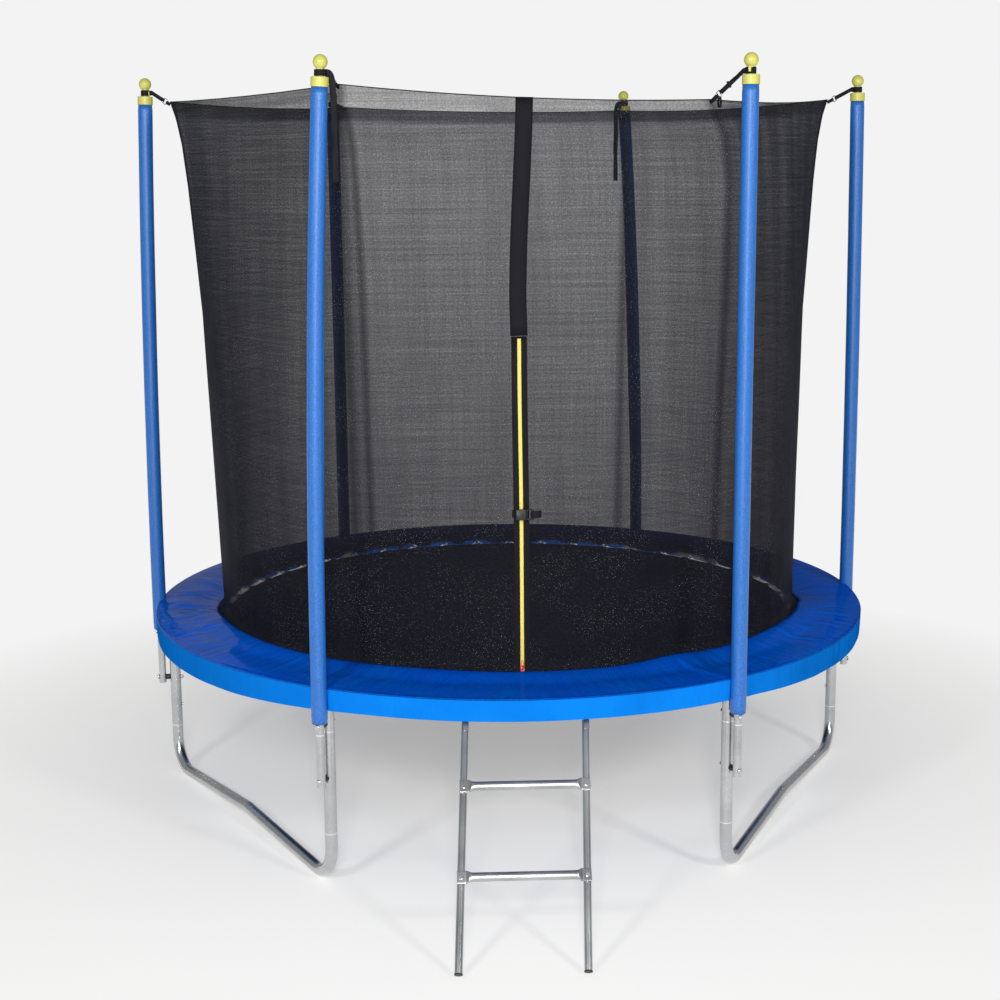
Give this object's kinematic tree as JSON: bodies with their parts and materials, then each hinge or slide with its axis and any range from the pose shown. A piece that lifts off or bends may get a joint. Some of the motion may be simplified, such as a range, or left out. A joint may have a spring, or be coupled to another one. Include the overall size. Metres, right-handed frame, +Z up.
{
  "type": "trampoline",
  "caption": "Round garden trampoline with a spring pad, bent tube legs, foam-covered poles, a hexagonal safety net with a zipped door, and a hook-on ladder.",
  "frame": {"origin": "middle of the upper face of the jumping mat", "axes": "+Z up; -Y towards the side with the door and the ladder; +X to the right seen from there"},
  "size_m": [2.5367, 2.9235, 2.4394],
  "materials": {
    "galvanised_tube": "galvanised, satin",
    "zinc_hardware": "bright zinc",
    "blue_foam": "foam with a fine grain, slight sheen",
    "lime_plastic": "moulded, semi-gloss",
    "black_plastic": "moulded, matt",
    "mat_weave": "tight weave, slightly shiny",
    "pad_cover": "glossy coated cloth, creased",
    "black_webbing": "woven tape",
    "net_mesh": "fine knitted mesh",
    "yellow_zip": "moulded zip",
    "red_slider": "lacquered"
  },
  "bodies": {
    "frame": {"buckle_socket": "black_plastic", "foam_sleeve_1": "blue_foam", "foam_sleeve_2": "blue_foam", "foam_sleeve_3": "blue_foam", "foam_sleeve_4": "blue_foam", "foam_sleeve_5": "blue_foam", "foam_sleeve_6": "blue_foam", "leg_base_1": "galvanised_tube", "leg_base_2": "galvanised_tube", "leg_base_3": "galvanised_tube", "leg_screws": "zinc_hardware", "leg_upright_1": "galvanised_tube", "leg_upright_2": "galvanised_tube", "leg_upright_3": "galvanised_tube", "leg_upright_4": "galvanised_tube", "leg_upright_5": "galvanised_tube", "leg_upright_6": "galvanised_tube", "net_straps": "black_webbing", "pad_ties": "black_webbing", "pole_1": "galvanised_tube", "pole_2": "galvanised_tube", "pole_3": "galvanised_tube", "pole_4": "galvanised_tube", "pole_5": "galvanised_tube", "pole_6": "galvanised_tube", "pole_bolts": "zinc_hardware", "pole_cap_1": "lime_plastic", "pole_cap_2": "lime_plastic", "pole_cap_3": "lime_plastic", "pole_cap_4": "lime_plastic", "pole_cap_5": "lime_plastic", "pole_cap_6": "lime_plastic", "pole_nuts": "zinc_hardware", "pole_spacers": "black_plastic", "safety_net": "net_mesh", "spring_pad": "pad_cover", "springs": "zinc_hardware", "strap_rings": "zinc_hardware", "strap_tail_1": "black_webbing", "strap_tail_2": "black_webbing", "top_rail_1": "galvanised_tube", "top_rail_2": "galvanised_tube", "top_rail_3": "galvanised_tube", "top_rail_4": "galvanised_tube", "top_rail_5": "galvanised_tube", "top_rail_6": "galvanised_tube", "zip_flap": "black_webbing", "zip_tape": "yellow_zip"},
    "mat": {"jumping_mat": "mat_weave", "mat_rings": "zinc_hardware"},
    "ladder": {"ladder_bolts": "zinc_hardware", "ladder_feet": "black_plastic", "ladder_rail_left": "galvanised_tube", "ladder_rail_right": "galvanised_tube", "ladder_rung_1": "galvanised_tube", "ladder_rung_2": "galvanised_tube"},
    "zip_puller": {"zip_slider": "red_slider"},
    "buckle_half": {"buckle_plug": "black_plastic"}
  },
  "joints": [
    {"name": "mat_bounce", "type": "slide", "parent": "frame", "child": "mat", "axis": [0, 0, -1], "range_m": [0, 0.1], "stiffness_N_per_m": 6000, "springref_m": -0.03, "deforming": ["springs"]},
    {"name": "ladder_swing", "type": "hinge", "parent": "frame", "child": "ladder", "pos_m": [-0.02072, -1.18706, -0.004], "axis": [-0.9998, 0.0175, 0], "range_deg": [0, 14]},
    {"name": "zip_slide", "type": "slide", "parent": "frame", "child": "zip_puller", "axis": [0.0002, 0.0125, 0.9999], "range_m": [0, 0.97]},
    {"name": "buckle_release", "type": "slide", "parent": "frame", "child": "buckle_half", "axis": [0.9998, -0.0175, 0], "range_m": [0, 0.022]}
  ]
}
